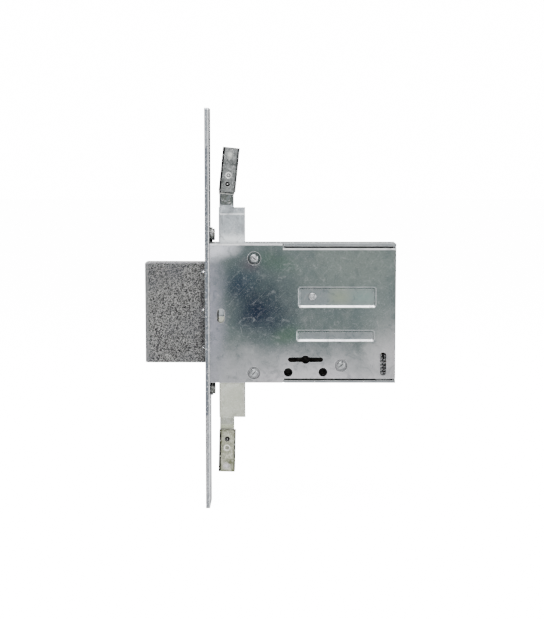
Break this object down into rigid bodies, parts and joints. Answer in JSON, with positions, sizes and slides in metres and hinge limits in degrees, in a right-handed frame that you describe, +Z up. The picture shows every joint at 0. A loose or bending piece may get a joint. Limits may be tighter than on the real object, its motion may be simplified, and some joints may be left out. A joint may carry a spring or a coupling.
{
  "type": "mortise lock",
  "caption": "Mortise deadlock for a door edge, with a block bolt thrown by a double-bitted key and vertical rod drives above and below the case.",
  "frame": {"origin": "front face of the faceplate, on the bolt's centreline and in the middle of the lock's thickness", "axes": "+X from the faceplate into the case, +Z up along the faceplate, +Y across the thickness from the cover to the back plate"},
  "size_m": [0.151, 0.024, 0.242],
  "materials": {
    "case_zinc": "bright zinc plating with a blue-green passivation film",
    "inner_zinc": "bright zinc plating",
    "pale_zinc": "pale zinc plating, satin",
    "yellow_zinc": "zinc plating with a yellow-green passivation film",
    "blasted_steel": "shot-blasted and plated, coarse grain",
    "brass": "rolled brass",
    "spring_steel": "bright drawn steel",
    "hard_steel": "hardened, dark"
  },
  "bodies": {
    "lock": {"faceplate": "case_zinc", "case_body": "case_zinc", "case_cover": "case_zinc", "cover_post_upper": "inner_zinc", "cover_post_lower": "inner_zinc", "lever_post": "inner_zinc", "spring_seat": "inner_zinc", "faceplate_rivet_upper_front": "inner_zinc", "faceplate_rivet_upper_back": "inner_zinc", "faceplate_rivet_lower_front": "inner_zinc", "faceplate_rivet_lower_back": "inner_zinc", "lever_stop_rivet": "pale_zinc", "cover_screw_upper_front": "pale_zinc", "cover_screw_lower_front": "pale_zinc", "cover_screw_rear": "pale_zinc", "clinch_nut_upper": "yellow_zinc", "clinch_nut_lower": "yellow_zinc", "faceplate_screw_upper": "yellow_zinc", "faceplate_screw_lower": "yellow_zinc", "bolt_guide_upper": "brass", "bolt_guide_lower": "brass", "lever_spring_1": "spring_steel", "lever_spring_2": "spring_steel", "lever_spring_3": "spring_steel", "lever_spring_4": "spring_steel", "lever_spring_5": "spring_steel", "lever_spring_6": "spring_steel", "keyhole_guard_front": "hard_steel", "keyhole_guard_back": "hard_steel"},
    "bolt": {"bolt_head": "blasted_steel", "bolt_tail": "inner_zinc", "drive_pin": "spring_steel", "bolt_stump": "spring_steel", "bolt_rivet_upper": "pale_zinc", "bolt_rivet_middle": "pale_zinc", "bolt_rivet_lower": "pale_zinc"},
    "rod_upper": {"rod_slide_upper": "pale_zinc", "socket_pin_upper": "spring_steel"},
    "rod_lower": {"rod_slide_lower": "pale_zinc", "socket_pin_lower": "spring_steel"},
    "socket_upper": {"rod_socket_upper": "pale_zinc"},
    "socket_lower": {"rod_socket_lower": "yellow_zinc"},
    "lever_1": {"lever_1": "brass"},
    "lever_2": {"lever_2": "brass"},
    "lever_3": {"lever_3": "brass"},
    "lever_4": {"lever_4": "brass"},
    "lever_5": {"lever_5": "brass"},
    "lever_6": {"lever_6": "brass"}
  },
  "joints": [
    {"name": "bolt_travel", "type": "slide", "parent": "lock", "child": "bolt", "axis": [1, 0, 0], "range_m": [0, 0.036]},
    {"name": "upper_rod_travel", "type": "slide", "parent": "lock", "child": "rod_upper", "axis": [0, 0, -1], "range_m": [0, 0.017]},
    {"name": "lower_rod_travel", "type": "slide", "parent": "lock", "child": "rod_lower", "axis": [0, 0, 1], "range_m": [0, 0.017]},
    {"name": "upper_socket_swing", "type": "hinge", "parent": "rod_upper", "child": "socket_upper", "pos_m": [0.0136, -0.0056, 0.0774], "axis": [0, 1, 0], "range_deg": [-12, 0]},
    {"name": "lower_socket_swing", "type": "hinge", "parent": "rod_lower", "child": "socket_lower", "pos_m": [0.013, -0.0071, -0.0769], "axis": [0, 1, 0], "range_deg": [-7.4, 4.6]},
    {"name": "lever_1_lift", "type": "hinge", "parent": "lock", "child": "lever_1", "pos_m": [0.0818, -0.0071, -0.0314], "axis": [0, 1, 0], "range_deg": [0, 5], "stiffness_Nm_per_rad": 0.12, "springref_deg": -5.73, "deforming": ["lever_spring_1"]},
    {"name": "lever_2_lift", "type": "hinge", "parent": "lock", "child": "lever_2", "pos_m": [0.0818, -0.0051, -0.0314], "axis": [0, 1, 0], "range_deg": [0, 5], "stiffness_Nm_per_rad": 0.12, "springref_deg": -5.73, "deforming": ["lever_spring_2"]},
    {"name": "lever_3_lift", "type": "hinge", "parent": "lock", "child": "lever_3", "pos_m": [0.0818, -0.0031, -0.0314], "axis": [0, 1, 0], "range_deg": [0, 5], "stiffness_Nm_per_rad": 0.12, "springref_deg": -5.73, "deforming": ["lever_spring_3"]},
    {"name": "lever_4_lift", "type": "hinge", "parent": "lock", "child": "lever_4", "pos_m": [0.0818, 0.0031, -0.0314], "axis": [0, 1, 0], "range_deg": [0, 5], "stiffness_Nm_per_rad": 0.12, "springref_deg": -5.73, "deforming": ["lever_spring_4"]},
    {"name": "lever_5_lift", "type": "hinge", "parent": "lock", "child": "lever_5", "pos_m": [0.0818, 0.0051, -0.0314], "axis": [0, 1, 0], "range_deg": [0, 5], "stiffness_Nm_per_rad": 0.12, "springref_deg": -5.73, "deforming": ["lever_spring_5"]},
    {"name": "lever_6_lift", "type": "hinge", "parent": "lock", "child": "lever_6", "pos_m": [0.0818, 0.0071, -0.0314], "axis": [0, 1, 0], "range_deg": [0, 5], "stiffness_Nm_per_rad": 0.12, "springref_deg": -5.73, "deforming": ["lever_spring_6"]}
  ],
  "couplings": [
    {"joint": "upper_rod_travel", "follows": "bolt_travel", "ratio": 0.4722},
    {"joint": "lower_rod_travel", "follows": "bolt_travel", "ratio": 0.4722}
  ]
}
